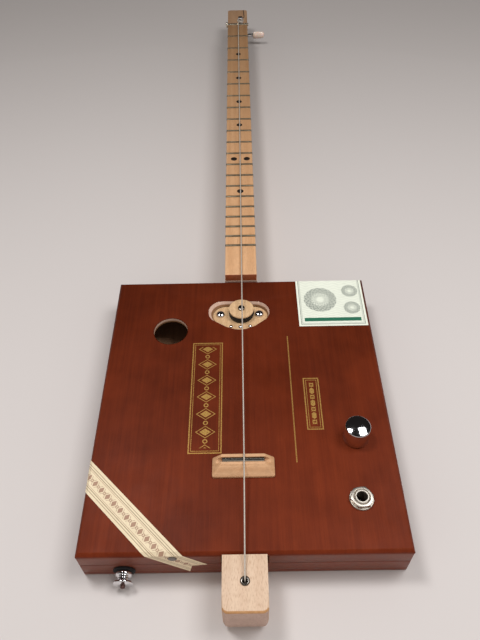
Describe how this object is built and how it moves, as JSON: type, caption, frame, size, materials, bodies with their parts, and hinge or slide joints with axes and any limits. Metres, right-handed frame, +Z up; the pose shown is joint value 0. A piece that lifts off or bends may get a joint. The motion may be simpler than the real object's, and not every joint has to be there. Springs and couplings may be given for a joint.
{
  "type": "cigar box guitar",
  "caption": "Single-string guitar on a lidded wooden box, with a through-neck, fretted board, worm-drive tuner, wooden pickup, volume knob and jack.",
  "frame": {"origin": "centre of the box's back, the face that the guitar lies on", "axes": "+X to the knob side, +Y along the neck to the headstock, +Z up out of the lid"},
  "size_m": [0.1966, 0.785, 0.0451],
  "materials": {
    "lid_lacquer": "satin red-brown lacquer over fine grain",
    "wall_lacquer": "satin dark red-brown lacquer",
    "maple": "oiled maple",
    "pale_maple": "bare sanded maple",
    "fret_wire": "nickel silver wire",
    "plated_steel": "nickel plated",
    "polished_chrome": "polished",
    "string_wire": "nickel wound steel",
    "black_tape": "black cloth tape",
    "black_felt": "pressed felt",
    "pearl_plastic": "pearl, polished"
  },
  "bodies": {
    "guitar": {"lid_board": "lid_lacquer", "base_board": "wall_lacquer", "lid_wall_left": "wall_lacquer", "lid_wall_right": "wall_lacquer", "lid_wall_tail_left": "wall_lacquer", "lid_wall_tail_right": "wall_lacquer", "lid_wall_neck_left": "wall_lacquer", "lid_wall_neck_right": "wall_lacquer", "tray_wall_left": "wall_lacquer", "tray_wall_right": "wall_lacquer", "tray_wall_tail_left": "wall_lacquer", "tray_wall_tail_right": "wall_lacquer", "tray_wall_neck_left": "wall_lacquer", "tray_wall_neck_right": "wall_lacquer", "neck_stick": "maple", "fretboard": "maple", "fret_01": "fret_wire", "fret_02": "fret_wire", "fret_03": "fret_wire", "fret_04": "fret_wire", "fret_05": "fret_wire", "fret_06": "fret_wire", "fret_07": "fret_wire", "fret_08": "fret_wire", "fret_09": "fret_wire", "fret_10": "fret_wire", "fret_11": "fret_wire", "fret_12": "fret_wire", "fret_13": "fret_wire", "fret_14": "fret_wire", "fret_15": "fret_wire", "fret_16": "fret_wire", "fret_17": "fret_wire", "fret_18": "fret_wire", "fret_19": "fret_wire", "fret_20": "fret_wire", "nut_bolt": "plated_steel", "bridge_base": "pale_maple", "bridge_saddle": "polished_chrome", "string": "string_wire", "string_ferrule": "plated_steel", "tuner_plate": "plated_steel", "tuner_bushing": "polished_chrome", "pickup_plate": "pale_maple", "pickup_coil": "black_tape", "pickup_cap": "pale_maple", "pickup_pole": "polished_chrome", "pickup_screw_left": "polished_chrome", "pickup_screw_right": "polished_chrome", "pot_body": "plated_steel", "jack_body": "plated_steel", "jack_nut": "polished_chrome", "strap_button": "polished_chrome", "strap_washer": "black_felt"},
    "string_post": {"tuner_post": "polished_chrome", "string_winding": "string_wire"},
    "worm": {"tuner_worm_shaft": "polished_chrome", "tuner_button": "pearl_plastic"},
    "volume": {"pot_shaft": "plated_steel", "volume_knob": "polished_chrome"}
  },
  "joints": [
    {"name": "post_turn", "type": "hinge", "parent": "guitar", "child": "string_post", "pos_m": [0.0038, 0.594, 0.03], "axis": [0, 0, 1], "continuous": true},
    {"name": "button_turn", "type": "hinge", "parent": "guitar", "child": "worm", "pos_m": [0.0038, 0.60269, 0.01275], "axis": [1, 0, 0], "continuous": true},
    {"name": "volume_turn", "type": "hinge", "parent": "guitar", "child": "volume", "pos_m": [0.0735, -0.0356, 0.03], "axis": [0, 0, 1], "range_deg": [-150, 150]}
  ],
  "couplings": [
    {"joint": "post_turn", "follows": "button_turn", "ratio": 0.071429}
  ]
}
